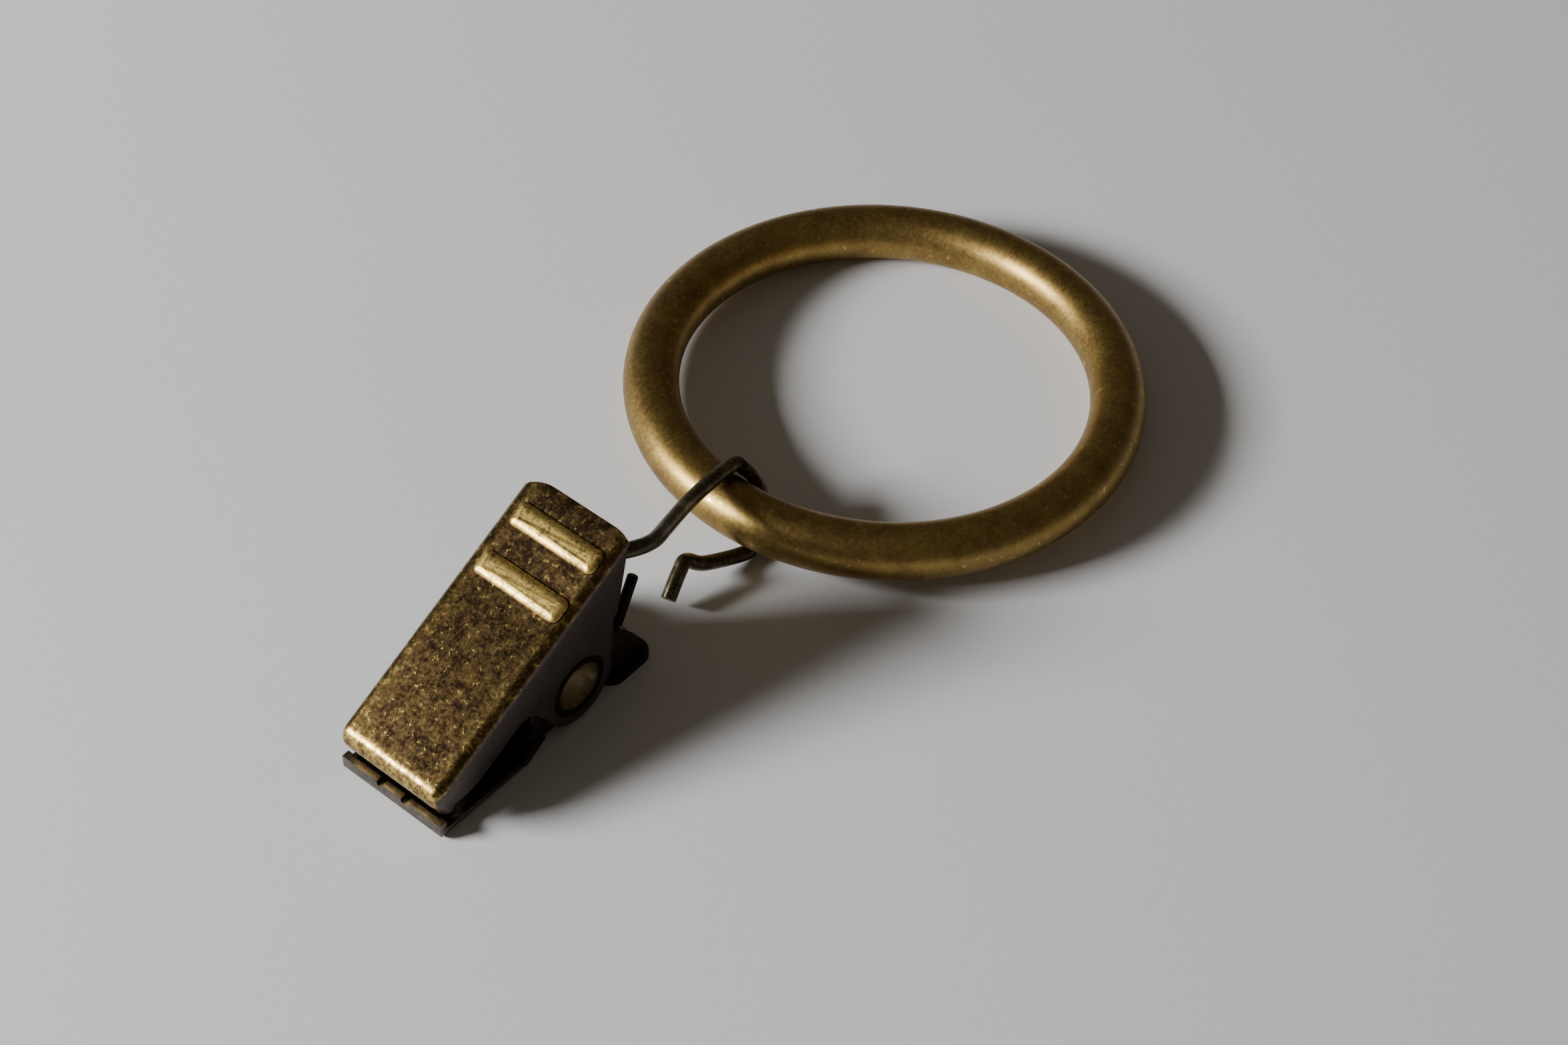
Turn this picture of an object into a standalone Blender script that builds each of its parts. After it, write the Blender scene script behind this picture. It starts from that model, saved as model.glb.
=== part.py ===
"""Curtain ring with a spring clip: a round ring, a bent wire hanger and a pressed-metal clip.

The clip lies on the table with its lips at -X and its handles at +X. The hanger runs from the upper
handle round the ring, and the ring lies beyond it, at +X. Z is up and the table is at z = 0.
Distances along the clip are counted from its lips, and sideways from its centre plane.
"""

import math

import bmesh
import bpy
from mathutils import Matrix, Vector

MM = 0.001
CLEARANCE = 0.3 * MM

# Ring: a round bar bent into a closed circle
RING_RADIUS = 21.6 * MM
RING_BAR = 2.6 * MM
RING_LIFT = 1.57 * MM            # the hanger passes under the ring, so its near side is off the table

# Wire of the hanger and of the spring
SPRING_WIRE = 0.5 * MM
HANGER_WIRE = 0.7 * MM

# Sheet metal of the two jaws
SHEET = 0.6 * MM
FOLD = 0.9 * MM                  # outer radius of the long folds
CLIP_WIDTH = 11.4 * MM

# Upper jaw, in the plane of its plate: s along the plate from its front, t down from its top
UPPER_FRONT = (-0.8 * MM, 5.2 * MM)
UPPER_SLOPE = math.radians(26.4)
UPPER_LENGTH = 27.2 * MM
UPPER_LIP = 3.2 * MM
UPPER_LIP_FOLD = 1.5 * MM
UPPER_FLANGE = 3.9 * MM
UPPER_REAR_FLANGE = 6.05 * MM
REAR_CORNERS = (2.9 * MM, 1.6 * MM)      # +Y side, -Y side
RIB_PLACES = (18.8 * MM, 23.75 * MM)
RIB_LENGTH = 9.4 * MM
RIB_MIDDLE = -0.2 * MM
RIB_WIDTH = 2.4 * MM
RIB_HEIGHT = 0.5 * MM
RIB_ROUNDING = 0.9 * MM          # along the plate; the same curve is RIB_HEIGHT high

# Lower jaw, flat on the table
LOWER_FRONT = -0.2 * MM
LOWER_LIP = 1.95 * MM
LOWER_EDGE = 1.1 * MM
LOWER_FOLD = 0.65 * MM
LOWER_TRAY_END = 13.2 * MM      # the tray narrows to the channel over its last part
LOWER_CHANNEL_START = 9.6 * MM
LOWER_CHANNEL = 9.6 * MM         # outer width between the ears, inside the upper jaw's flanges
LOWER_CHANNEL_END = 25.3 * MM
LOWER_WING = 11.0 * MM
LOWER_END = 26.3 * MM
LIP_NOTCHES = (-1.3 * MM, 1.5 * MM)

# Pivot, shared by both jaws, the pin and the spring
PIVOT_ALONG = 16.6 * MM
PIVOT_HEIGHT = 4.5 * MM
PIN_RADIUS = 2.3 * MM            # between the lower jaw's ears
PIN_HEAD = 2.95 * MM             # where each end turns in the upper jaw's ears
PIN_PROUD = 0.1 * MM             # beyond the outer face of those ears
PIN_DISH = 2.35 * MM
PIN_DISH_DEPTH = 1.8 * MM
UPPER_BORE = PIN_HEAD + 0.06 * MM
UPPER_EAR = 3.9 * MM
LOWER_BORE = PIN_RADIUS + CLEARANCE
LOWER_EAR = 3.75 * MM

# Torsion spring
COIL_RADIUS = PIN_RADIUS + 0.2 * MM + SPRING_WIRE
COIL_TURNS = 4
COIL_SIDE = 3.4 * MM             # centre of the first turn and of the lower leg, on the -Y side
COIL_END_SIDE = -2.1 * MM
UPPER_LEG_ANGLE = math.radians(52)
UPPER_LEG = 9.6 * MM
LOWER_LEG_TIP = (26.0 * MM, 8.8 * MM)
LOWER_LEG_ANGLE = math.radians(62)
LEG_BEND = 1.2 * MM

# Hanger
EYE_ALONG = 21.3 * MM            # the hanger's inner end turns in a hole in the far flange here
EYE_HEIGHT = 13.3 * MM
EYE_HOLE = HANGER_WIRE + CLEARANCE
LOOP_RADIUS = RING_BAR + HANGER_WIRE + 0.15 * MM

# Places that follow from the sizes above
RING_TILT = math.asin(RING_LIFT / (2 * RING_RADIUS))
RING_HINGE_ALONG = 40.75 * MM
RING_HINGE_HEIGHT = RING_BAR + RING_LIFT
NEAR_EDGE_ALONG = UPPER_FRONT[0] + UPPER_LIP_FOLD * (math.cos(UPPER_SLOPE) + math.sin(UPPER_SLOPE) - 1)
FAR_EDGE_ALONG = RING_HINGE_ALONG + 2 * RING_RADIUS * math.cos(RING_TILT) + RING_BAR
LIPS_X = -(NEAR_EDGE_ALONG + FAR_EDGE_ALONG) / 2
CLIP_Y = 1.7 * MM                # the clip lies a little to one side of the ring's centre


def place(along, side, height):
    """A point counted from the lips, towards -Y from the clip's centre plane, and up."""
    return Vector((LIPS_X + along, CLIP_Y - side, height))


PIVOT = place(PIVOT_ALONG, 0, PIVOT_HEIGHT)
EYE = place(EYE_ALONG, 0, EYE_HEIGHT)
RING_HINGE = Vector((LIPS_X + RING_HINGE_ALONG, 0, RING_HINGE_HEIGHT))


def clear_scene():
    for item in list(bpy.data.objects):
        bpy.data.objects.remove(item, do_unlink=True)


def metal(name, colour, roughness):
    material = bpy.data.materials.new(name)
    material.use_nodes = True
    shader = material.node_tree.nodes["Principled BSDF"]
    shader.inputs["Base Color"].default_value = (*colour, 1)
    shader.inputs["Metallic"].default_value = 1
    shader.inputs["Roughness"].default_value = roughness
    return material


def add_object(name, mesh, origin, rotation=(0, 0, 0), material=None):
    item = bpy.data.objects.new(name, mesh)
    item.location = origin
    item.rotation_euler = rotation
    bpy.context.collection.objects.link(item)
    if material:
        mesh.materials.append(material)
    return item


def mesh_from(name, shape, smooth_angle=math.radians(35)):
    mesh = bpy.data.meshes.new(name)
    bmesh.ops.recalc_face_normals(shape, faces=shape.faces[:])
    shape.to_mesh(mesh)
    shape.free()
    mesh.shade_smooth()
    mesh.set_sharp_from_angle(angle=smooth_angle)
    return mesh


def block(low, high):
    """A box between two corners."""
    shape = bmesh.new()
    bmesh.ops.create_cube(shape, size=1)
    size = Vector(high) - Vector(low)
    middle = (Vector(high) + Vector(low)) / 2
    bmesh.ops.transform(shape, verts=shape.verts, matrix=Matrix.Translation(middle) @ Matrix.Diagonal((*size, 1)))
    return shape


def round_edges(shape, chosen, radius, segments=3):
    edges = [edge for edge in shape.edges if chosen(edge)]
    bmesh.ops.bevel(shape, geom=edges, offset=radius, segments=segments, profile=0.5, affect="EDGES")


def remove_faces(shape, chosen):
    shape.normal_update()
    faces = [face for face in shape.faces if chosen(face)]
    bmesh.ops.delete(shape, geom=faces, context="FACES")


def outline_prism(points, half_width):
    """A closed outline in the XZ plane, extruded to both sides of y = 0."""
    shape = bmesh.new()
    ring = [shape.verts.new((x, -half_width, z)) for x, z in points]
    face = shape.faces.new(ring)
    pushed = bmesh.ops.extrude_face_region(shape, geom=[face])
    moved = [item for item in pushed["geom"] if isinstance(item, bmesh.types.BMVert)]
    bmesh.ops.translate(shape, verts=moved, vec=(0, 2 * half_width, 0))
    return shape


def cross_cylinder(centre, radius, low_y, high_y, sides=32):
    """A cylinder along Y."""
    shape = bmesh.new()
    turn = Matrix.Rotation(math.pi / 2, 4, "X")
    shift = Matrix.Translation((centre[0], (low_y + high_y) / 2, centre[1]))
    bmesh.ops.create_cone(shape, cap_ends=True, segments=sides, radius1=radius, radius2=radius,
                          depth=high_y - low_y, matrix=shift @ turn)
    return shape


def arc(centre, radius, start, end, steps):
    """Points on a circle from one angle in degrees to another."""
    angles = [math.radians(start + (end - start) * i / steps) for i in range(steps + 1)]
    return [(centre[0] + radius * math.cos(a), centre[1] + radius * math.sin(a)) for a in angles]


def combine(target, shape, operation):
    """Cut, trim or join a second shape, made in the target's own frame."""
    name = f"{target.name}_{operation.lower()}_{len(target.modifiers)}"
    tool = add_object(name, mesh_from(name, shape), target.location, target.rotation_euler)
    tool.hide_render = True
    tool.display_type = "WIRE"
    step = target.modifiers.new(operation, "BOOLEAN")
    step.operation = operation
    step.object = tool
    return tool


def give_thickness(item):
    wall = item.modifiers.new("Sheet", "SOLIDIFY")
    wall.thickness = SHEET
    wall.offset = -1
    wall.use_even_offset = True


def wire_object(name, points, radius, origin, material, sides=2):
    """A round wire through world points, with its origin where it turns."""
    curve = bpy.data.curves.new(name, "CURVE")
    curve.dimensions = "3D"
    curve.bevel_depth = radius
    curve.bevel_resolution = sides
    curve.use_fill_caps = True
    line = curve.splines.new("POLY")
    line.points.add(len(points) - 1)
    for spot, point in zip(line.points, points):
        spot.co = (*(Vector(point) - origin), 1)
    curve.materials.append(material)
    item = bpy.data.objects.new(name, curve)
    item.location = origin
    bpy.context.collection.objects.link(item)
    return item


def smooth_through(points, steps):
    """A Catmull-Rom curve through the given points."""
    ends = [2 * points[0] - points[1], *points, 2 * points[-1] - points[-2]]
    path = []
    for before, start, end, after in zip(ends, ends[1:], ends[2:], ends[3:]):
        for i in range(steps):
            f = i / steps
            path.append(0.5 * (2 * start + (end - before) * f
                               + (2 * before - 5 * start + 4 * end - after) * f ** 2
                               + (3 * start - before - 3 * end + after) * f ** 3))
    path.append(points[-1])
    return path


def make_ring(material):
    bpy.ops.mesh.primitive_torus_add(major_radius=RING_RADIUS, minor_radius=RING_BAR,
                                     major_segments=72, minor_segments=16)
    ring = bpy.context.object
    ring.name = "curtain_ring"
    ring.data.name = "curtain_ring"
    ring.data.transform(Matrix.Translation((RING_RADIUS, 0, 0)))
    ring.data.shade_smooth()
    ring.data.materials.append(material)
    ring.location = RING_HINGE
    ring.rotation_euler = (0, RING_TILT, 0)


def upper_outline(pivot):
    """Side view of the upper jaw, counted from the pivot, with the ear round its bore."""
    edge = [(-1 * MM, 1 * MM), (-1 * MM, -UPPER_LIP), (0.9 * MM, -UPPER_LIP), (1.2 * MM, -2.9 * MM),
            (1.7 * MM, -3.1 * MM), (2.3 * MM, -3.4 * MM), (3 * MM, -3.7 * MM), (4 * MM, -UPPER_FLANGE),
            (9.6 * MM, -UPPER_FLANGE), (10.6 * MM, -4.3 * MM), (11.1 * MM, -5.2 * MM)]
    edge += arc(pivot, UPPER_EAR, 170, 330, 20)
    edge += arc((21.4 * MM, -UPPER_REAR_FLANGE + 1.2 * MM), 1.2 * MM, 270, 320, 3)
    edge += [(25.4 * MM, -1.9 * MM), (26.3 * MM, -0.7 * MM), (UPPER_LENGTH + MM, -0.7 * MM),
             (UPPER_LENGTH + MM, 1 * MM)]
    return [(s - pivot[0], t - pivot[1]) for s, t in edge]


def in_upper_frame(along, up):
    """A step in the vertical plane, seen in the tilted frame of the upper plate."""
    cosine, sine = math.cos(UPPER_SLOPE), math.sin(UPPER_SLOPE)
    return along * cosine + up * sine, up * cosine - along * sine


def make_upper_jaw(material):
    pivot = in_upper_frame(PIVOT_ALONG - UPPER_FRONT[0], PIVOT_HEIGHT - UPPER_FRONT[1])
    half = CLIP_WIDTH / 2
    front, top = -pivot[0], -pivot[1]
    end = front + UPPER_LENGTH
    shape = block((front, -half, top - 14 * MM), (end + 2 * MM, half, top))

    def lip_fold(edge):
        return all(abs(v.co.z - top) < 1e-6 and abs(v.co.x - front) < 1e-6 for v in edge.verts)

    def long_fold(edge):
        middle = (edge.verts[0].co + edge.verts[1].co) / 2
        return abs(abs(middle.y) - half) < 1e-6 and middle.x < end and middle.z > top - 13 * MM

    round_edges(shape, lip_fold, UPPER_LIP_FOLD, 12)
    round_edges(shape, long_fold, FOLD)
    remove_faces(shape, lambda face: face.normal.z < -0.9 or face.normal.x > 0.9)
    jaw = add_object("upper_jaw", mesh_from("upper_jaw", shape), PIVOT, (0, -UPPER_SLOPE, 0), material)
    give_thickness(jaw)
    combine(jaw, outline_prism(upper_outline(pivot), CLIP_WIDTH), "INTERSECT")

    plan = block((front - MM, -half - MM, top - 15 * MM), (end, half + MM, top + MM))
    for side, radius in zip((1, -1), REAR_CORNERS):
        round_edges(plan, lambda edge: all(abs(v.co.x - end) < 1e-6 and v.co.y * side > half
                                           for v in edge.verts), radius + MM, 5)
    combine(jaw, plan, "INTERSECT")

    combine(jaw, cross_cylinder((0, 0), UPPER_BORE, -CLIP_WIDTH, CLIP_WIDTH), "DIFFERENCE")
    eye = in_upper_frame(EYE_ALONG - PIVOT_ALONG, EYE_HEIGHT - PIVOT_HEIGHT)
    combine(jaw, cross_cylinder(eye, EYE_HOLE, half - 2 * SHEET, half + MM, 16), "DIFFERENCE")

    for spot in RIB_PLACES:
        low = (front + spot - RIB_WIDTH / 2, RIB_MIDDLE - RIB_LENGTH / 2, top - SHEET / 2)
        high = (front + spot + RIB_WIDTH / 2, RIB_MIDDLE + RIB_LENGTH / 2, top + RIB_ROUNDING + 0.1 * MM)
        rib = block(low, high)
        round_edges(rib, lambda edge: all(v.co.z > top for v in edge.verts), RIB_ROUNDING, 4)
        for vert in rib.verts:
            if vert.co.z > top:
                vert.co.z = top + (vert.co.z - top) * RIB_HEIGHT / (RIB_ROUNDING + 0.1 * MM)
        combine(jaw, rib, "UNION")


def lower_outline():
    """Side view of the lower jaw's channel, counted from the pivot."""
    start, end = LOWER_CHANNEL_START - PIVOT_ALONG, LOWER_CHANNEL_END - PIVOT_ALONG
    floor = -PIVOT_HEIGHT
    return [(start - 2 * MM, floor - MM), (start - 2 * MM, floor + SHEET), (start, floor + SHEET),
            (start + 0.4 * MM, floor + 1.1 * MM), (start + 2.4 * MM, floor + 2.6 * MM),
            *arc((0, 0), LOWER_EAR, 165, 25, 14),
            *arc((end - 3.2 * MM, floor + 4.7 * MM), 1.3 * MM, 85, 35, 3),
            (end - 0.5 * MM, floor + 3.1 * MM), (end, floor + 1.6 * MM), (end + 2 * MM, floor + 1.6 * MM),
            (end + 2 * MM, floor - MM)]


def make_lower_jaw(material):
    floor = -PIVOT_HEIGHT
    half = LOWER_CHANNEL / 2
    start, end = LOWER_CHANNEL_START - MM - PIVOT_ALONG, LOWER_CHANNEL_END - PIVOT_ALONG
    shape = block((start, -half, floor), (end, half, floor + 11 * MM))
    round_edges(shape, lambda edge: all(abs(abs(v.co.y) - half) < 1e-6 and abs(v.co.z - floor) < 1e-6
                                        for v in edge.verts)
                and abs(edge.verts[0].co.x - edge.verts[1].co.x) > MM, FOLD)
    remove_faces(shape, lambda face: face.normal.z > 0.9 or abs(face.normal.x) > 0.9)
    jaw = add_object("lower_jaw", mesh_from("lower_jaw", shape), PIVOT, material=material)
    give_thickness(jaw)
    combine(jaw, outline_prism(lower_outline(), CLIP_WIDTH), "INTERSECT")

    tray = combine(jaw, front_tray(floor), "UNION")
    give_thickness(tray)
    combine(tray, tray_trim(floor), "DIFFERENCE")
    wing = block((20.6 * MM - PIVOT_ALONG, -LOWER_WING / 2, floor),
                 (LOWER_END - PIVOT_ALONG, LOWER_WING / 2, floor + SHEET))
    round_edges(wing, lambda edge: abs(edge.verts[0].co.z - edge.verts[1].co.z) > SHEET / 2, 1.5 * MM, 4)
    combine(jaw, wing, "UNION")
    combine(jaw, cross_cylinder((0, 0), LOWER_BORE, -CLIP_WIDTH, CLIP_WIDTH), "DIFFERENCE")
    for side in LIP_NOTCHES:
        notch = block((LOWER_FRONT - PIVOT_ALONG - MM, -side - 0.35 * MM, floor + LOWER_LIP - 0.5 * MM),
                      (LOWER_FRONT - PIVOT_ALONG + MM, -side + 0.35 * MM, floor + LOWER_LIP + MM))
        combine(jaw, notch, "DIFFERENCE")


def front_tray(floor):
    """The lower jaw's gripping end: floor, upturned lip and low side edges, still open sheet."""
    half = CLIP_WIDTH / 2
    front, end = LOWER_FRONT - PIVOT_ALONG, LOWER_TRAY_END - PIVOT_ALONG
    shape = block((front, -half, floor), (end, half, floor + LOWER_LIP))
    bmesh.ops.bisect_plane(shape, geom=shape.verts[:] + shape.edges[:] + shape.faces[:],
                           plane_co=(LOWER_CHANNEL_START - PIVOT_ALONG, 0, 0), plane_no=(1, 0, 0))
    for vert in shape.verts:
        if vert.co.x > end - 1e-6:
            vert.co.y *= (LOWER_CHANNEL - 0.2 * MM) / CLIP_WIDTH

    def folded(edge):
        middle = (edge.verts[0].co + edge.verts[1].co) / 2
        along_side = abs(middle.y) > LOWER_CHANNEL / 2 and abs(edge.verts[0].co.y - edge.verts[1].co.y) < MM
        return abs(middle.z - floor) < 1e-6 and (abs(middle.x - front) < 1e-6 or along_side)

    round_edges(shape, folded, LOWER_FOLD)
    remove_faces(shape, lambda face: face.normal.z > 0.9 or face.normal.x > 0.9)
    return shape


def tray_trim(floor):
    """What is cut from above the low side edges of the gripping end."""
    front, end = LOWER_FRONT - PIVOT_ALONG, LOWER_TRAY_END - PIVOT_ALONG
    return outline_prism([(front + SHEET + 0.15 * MM, floor + LOWER_LIP + MM),
                          (front + SHEET + 0.15 * MM, floor + LOWER_EDGE),
                          (end - 0.5 * MM, floor + LOWER_EDGE), (end, floor + SHEET + 0.2 * MM),
                          (end + 0.1 * MM, floor + LOWER_LIP + MM)], CLIP_WIDTH)


def make_pin(material):
    """A round pin across the ears, wider at its ends, with a rounded rim and a dish in each end."""
    reach = CLIP_WIDTH / 2 + PIN_PROUD
    shoulder = CLIP_WIDTH / 2 - SHEET
    rim = 0.15 * MM
    profile = [(0, reach - PIN_DISH_DEPTH), (PIN_DISH * 0.5, reach - PIN_DISH_DEPTH * 0.95),
               (PIN_DISH * 0.8, reach - PIN_DISH_DEPTH * 0.7), (PIN_DISH * 0.95, reach - PIN_DISH_DEPTH * 0.35),
               (PIN_DISH, reach - rim * 0.5)]
    profile += arc((PIN_HEAD - rim, reach - rim), rim, 90, 0, 3)
    profile += [(PIN_HEAD, shoulder), (PIN_RADIUS, shoulder)]
    sides = 32
    shape = bmesh.new()
    rows = []
    for radius, side in profile + [(r, -s) for r, s in reversed(profile)]:
        angles = [2 * math.pi * i / sides for i in range(sides)] if radius else [0]
        rows.append([shape.verts.new((radius * math.cos(a), side, radius * math.sin(a))) for a in angles])
    for first, second in zip(rows, rows[1:]):
        for i in range(sides):
            corners = [first[i % len(first)], first[(i + 1) % len(first)],
                       second[(i + 1) % len(second)], second[i % len(second)]]
            shape.faces.new(list(dict.fromkeys(corners)))
    add_object("pivot_pin", mesh_from("pivot_pin", shape), PIVOT, material=material)


def spring_points():
    """Upturned tip, lower leg, coil round the pin and upper leg, as one wire."""
    cosine, sine = math.cos(LOWER_LEG_ANGLE), math.sin(LOWER_LEG_ANGLE)
    leg_height = PIVOT_HEIGHT - COIL_RADIUS
    foot = LOWER_LEG_TIP[0] - (LOWER_LEG_TIP[1] - leg_height) * cosine / sine
    tangent = LEG_BEND * math.tan(LOWER_LEG_ANGLE / 2)
    bend = arc((foot - tangent, leg_height + LEG_BEND), LEG_BEND,
               math.degrees(LOWER_LEG_ANGLE) - 90, -90, 6)
    points = [place(LOWER_LEG_TIP[0], COIL_SIDE, LOWER_LEG_TIP[1])]
    points += [place(along, COIL_SIDE, height) for along, height in bend]

    finish = -360 * COIL_TURNS - 180 - math.degrees(UPPER_LEG_ANGLE) + 90
    leave = finish - 90
    steps = round((-90 - leave) / 18)
    for i in range(steps + 1):
        angle = math.radians(-90 + (leave + 90) * i / steps)
        side = COIL_SIDE + (COIL_END_SIDE - COIL_SIDE) * i / steps
        points.append(place(PIVOT_ALONG + COIL_RADIUS * math.cos(angle), side,
                            PIVOT_HEIGHT + COIL_RADIUS * math.sin(angle)))
    reach = Vector((math.cos(UPPER_LEG_ANGLE), 0, math.sin(UPPER_LEG_ANGLE))) * UPPER_LEG
    points.append(points[-1] + reach)
    return points


def hanger_points():
    """From the hole in the far flange, out past the handle's corner, round the ring and back."""
    inner = [place(EYE_ALONG, side, EYE_HEIGHT) for side in (-6.3 * MM, -1.6 * MM)]
    leg = [place(*point) for point in (
        (21.9 * MM, 0.9 * MM, 13.4 * MM), (23.2 * MM, 3.1 * MM, 13.8 * MM), (24.8 * MM, 4.5 * MM, 13.9 * MM),
        (27.3 * MM, 4.6 * MM, 12.9 * MM), (30.3 * MM, 3.5 * MM, 11.5 * MM), (35.9 * MM, 1.4 * MM, 9 * MM))]
    start, end = 64, -110
    first, last = 0.3 * MM, 4.3 * MM
    loop = []
    for along, height in arc((RING_HINGE_ALONG, RING_HINGE_HEIGHT), LOOP_RADIUS, start, end, 7):
        side = first + (last - first) * len(loop) / 7
        loop.append(place(along, side, height))
    tail = [place(*point) for point in (
        (35.6 * MM, 3 * MM, 1.95 * MM), (33.9 * MM, 2.3 * MM, 3.2 * MM), (32.9 * MM, 2.45 * MM, 2.9 * MM),
        (30.6 * MM, 3.1 * MM, 1.5 * MM))]
    return inner[:1] + smooth_through(inner[1:] + leg + loop + tail, 3)


def main():
    clear_scene()
    brass = metal("antique_brass", (0.36, 0.25, 0.11), 0.32)
    dark_brass = metal("aged_brass", (0.27, 0.19, 0.09), 0.42)
    dark_wire = metal("dark_wire", (0.05, 0.04, 0.035), 0.4)
    make_ring(brass)
    make_upper_jaw(dark_brass)
    make_lower_jaw(dark_brass)
    make_pin(brass)
    wire_object("torsion_spring", spring_points(), SPRING_WIRE, PIVOT, dark_wire)
    wire_object("hanger_wire", hanger_points(), HANGER_WIRE, EYE, dark_wire)


main()
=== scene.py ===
import math

import bpy
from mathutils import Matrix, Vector


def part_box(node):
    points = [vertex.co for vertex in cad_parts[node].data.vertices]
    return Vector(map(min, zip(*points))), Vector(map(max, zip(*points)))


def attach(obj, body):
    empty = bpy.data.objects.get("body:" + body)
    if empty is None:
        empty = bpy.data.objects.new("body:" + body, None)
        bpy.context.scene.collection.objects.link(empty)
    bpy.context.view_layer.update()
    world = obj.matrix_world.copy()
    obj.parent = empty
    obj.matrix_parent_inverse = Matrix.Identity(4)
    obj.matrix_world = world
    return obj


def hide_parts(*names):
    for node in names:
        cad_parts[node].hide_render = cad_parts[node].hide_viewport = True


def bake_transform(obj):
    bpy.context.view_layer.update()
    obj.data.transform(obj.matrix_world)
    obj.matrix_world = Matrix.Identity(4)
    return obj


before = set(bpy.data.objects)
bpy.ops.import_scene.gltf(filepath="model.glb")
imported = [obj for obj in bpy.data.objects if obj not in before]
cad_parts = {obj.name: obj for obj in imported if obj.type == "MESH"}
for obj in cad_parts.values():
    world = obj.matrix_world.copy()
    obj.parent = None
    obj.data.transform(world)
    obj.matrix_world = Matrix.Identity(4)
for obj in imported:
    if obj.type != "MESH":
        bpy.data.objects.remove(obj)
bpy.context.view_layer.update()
print("frame loaded")

mm = 0.001
hair = 0.001 * mm       # closer than this counts as touching
cutGap = 0.004 * mm     # corners that a cut leaves this close are one

# places that the pieces share: distances along the clip from its lips, and sideways from its middle
layout = {
    "lipsX": -43.11599 * mm,
    "clipY": 1.7 * mm,
    "pivot": (16.6 * mm, 4.5 * mm),
    "eye": (21.3 * mm, 13.3 * mm),
    "ringHinge": (40.75 * mm, 4.17 * mm),
    "slope": 26.4,
    "sheet": 0.6 * mm,
    "fold": 0.9 * mm,
    "clipWidth": 11.4 * mm,
    "channelWidth": 9.6 * mm,
}


def place(along, side, height):
    return Vector((layout["lipsX"] + along, layout["clipY"] - side, height))


pivotPlace = place(layout["pivot"][0], 0, layout["pivot"][1])


def deselectAll():
    if bpy.context.object and bpy.context.object.mode != "OBJECT":
        bpy.ops.object.mode_set(mode="OBJECT")
    bpy.ops.object.select_all(action="DESELECT")


def pick(item):
    deselectAll()
    item.select_set(True)
    bpy.context.view_layer.objects.active = item


def settle(item):
    # the place and size go into the mesh
    pick(item)
    bpy.ops.object.transform_apply(location=True, rotation=True, scale=True)


def chooseIn(item, kind, test):
    # leaves the item in edit mode with only the matching parts selected
    pick(item)
    bpy.ops.object.mode_set(mode="EDIT")
    bpy.ops.mesh.select_mode(type={"edges": "EDGE", "polygons": "FACE", "vertices": "VERT"}[kind])
    bpy.ops.mesh.select_all(action="DESELECT")
    bpy.ops.object.mode_set(mode="OBJECT")
    mesh = item.data
    for part in getattr(mesh, kind):
        if kind == "edges":
            ends = [mesh.vertices[i].co for i in part.vertices]
            part.select = bool(test(*ends))
        elif kind == "polygons":
            part.select = bool(test(part.center, part.normal))
        else:
            part.select = bool(test(part.co))
    bpy.ops.object.mode_set(mode="EDIT")


def leaveEdit():
    bpy.ops.object.mode_set(mode="OBJECT")


def addBlock(name, low, high):
    deselectAll()
    middle = [(a + b) / 2 for a, b in zip(low, high)]
    size = [b - a for a, b in zip(low, high)]
    bpy.ops.mesh.primitive_cube_add(size=1, location=middle, scale=size)
    item = bpy.context.object
    item.name = name
    settle(item)
    return item


def roundEdges(item, test, radius, segments):
    chooseIn(item, "edges", test)
    bpy.ops.mesh.bevel(offset=radius, segments=segments, profile=0.5, affect="EDGES")
    leaveEdit()


def deleteFaces(item, test):
    chooseIn(item, "polygons", test)
    bpy.ops.mesh.delete(type="FACE")
    leaveEdit()


def drawLine(name, points):
    # a plane shrunk to one point, which is then pulled from place to place
    deselectAll()
    bpy.ops.mesh.primitive_plane_add(size=mm, location=points[0])
    item = bpy.context.object
    item.name = name
    settle(item)
    bpy.ops.object.mode_set(mode="EDIT")
    bpy.ops.mesh.select_mode(type="VERT")
    bpy.ops.mesh.merge(type="CENTER")
    for before, after in zip(points, points[1:]):
        step = Vector(after) - Vector(before)
        bpy.ops.mesh.extrude_region_move(TRANSFORM_OT_translate={"value": step})
    leaveEdit()
    return item


def drawPrism(name, outline, halfWidth):
    # a side view, filled and pulled out to both sides of the middle
    item = drawLine(name, [(x, -halfWidth, z) for x, z in outline])
    bpy.ops.object.mode_set(mode="EDIT")
    bpy.ops.mesh.select_all(action="SELECT")
    bpy.ops.mesh.edge_face_add()
    bpy.ops.mesh.extrude_region_move(TRANSFORM_OT_translate={"value": (0, 2 * halfWidth, 0)})
    bpy.ops.mesh.select_all(action="SELECT")
    bpy.ops.mesh.normals_make_consistent(inside=False)
    leaveEdit()
    return item


def addDrill(name, centre, radius, lowY, highY, sides=64):
    deselectAll()
    middle = (centre[0], (lowY + highY) / 2, centre[1])
    bpy.ops.mesh.primitive_cylinder_add(vertices=sides, radius=radius, depth=highY - lowY,
                                        location=middle, rotation=(math.pi / 2, 0, 0))
    item = bpy.context.object
    item.name = name
    settle(item)
    return item


def combine(item, tool, operation):
    step = item.modifiers.new(operation, "BOOLEAN")
    step.operation = operation
    step.solver = "EXACT"
    step.object = tool
    pick(item)
    bpy.ops.object.modifier_apply(modifier=step.name)
    bpy.data.objects.remove(tool, do_unlink=True)


def giveThickness(item, thickness):
    step = item.modifiers.new("Sheet", "SOLIDIFY")
    step.thickness = thickness
    step.offset = -1
    step.use_even_offset = True
    pick(item)
    bpy.ops.object.modifier_apply(modifier=step.name)


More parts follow.
